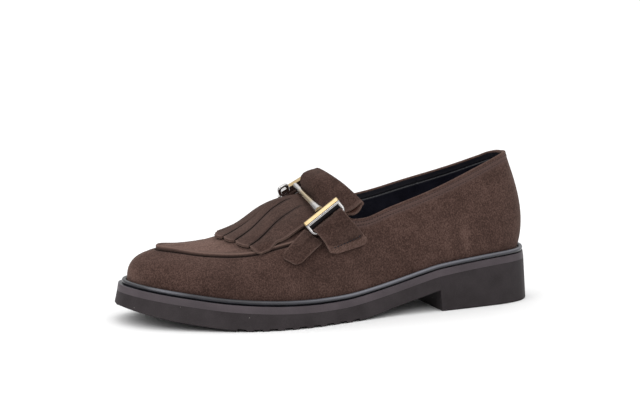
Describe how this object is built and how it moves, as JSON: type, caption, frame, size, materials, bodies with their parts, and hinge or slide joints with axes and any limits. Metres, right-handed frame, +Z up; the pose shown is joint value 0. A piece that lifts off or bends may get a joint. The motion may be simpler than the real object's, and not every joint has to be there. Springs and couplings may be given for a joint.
{
  "type": "slip-on loafer shoe",
  "caption": "Left suede slip-on loafer with a raised apron seam, a fringed flap under a metal snaffle bar, side straps and a cleated rubber sole with a low block heel.",
  "frame": {"origin": "on the floor, under the middle of the shoe's box", "axes": "+X from heel to toe, +Y to the outer (lateral) side of the left foot, +Z up"},
  "size_m": [0.2725, 0.0966, 0.0962],
  "materials": {
    "suede": "napped suede, matte",
    "sole_rubber": "matte",
    "sole_strip": "satin",
    "gloss_bead": "gloss",
    "lining_leather": "smooth, satin",
    "gold_metal": "polished pale gold plating",
    "silver_metal": "polished"
  },
  "bodies": {
    "root": {"outsole": "sole_rubber", "welt": "sole_strip", "rand": "gloss_bead", "insole": "lining_leather", "upper": "suede", "flap": "suede", "strap_lateral": "suede", "strap_medial": "suede", "tab_lateral": "suede", "tab_medial": "suede", "face_bar_lateral": "gold_metal", "face_bar_medial": "gold_metal", "crossbar": "silver_metal"}
  },
  "joints": []
}
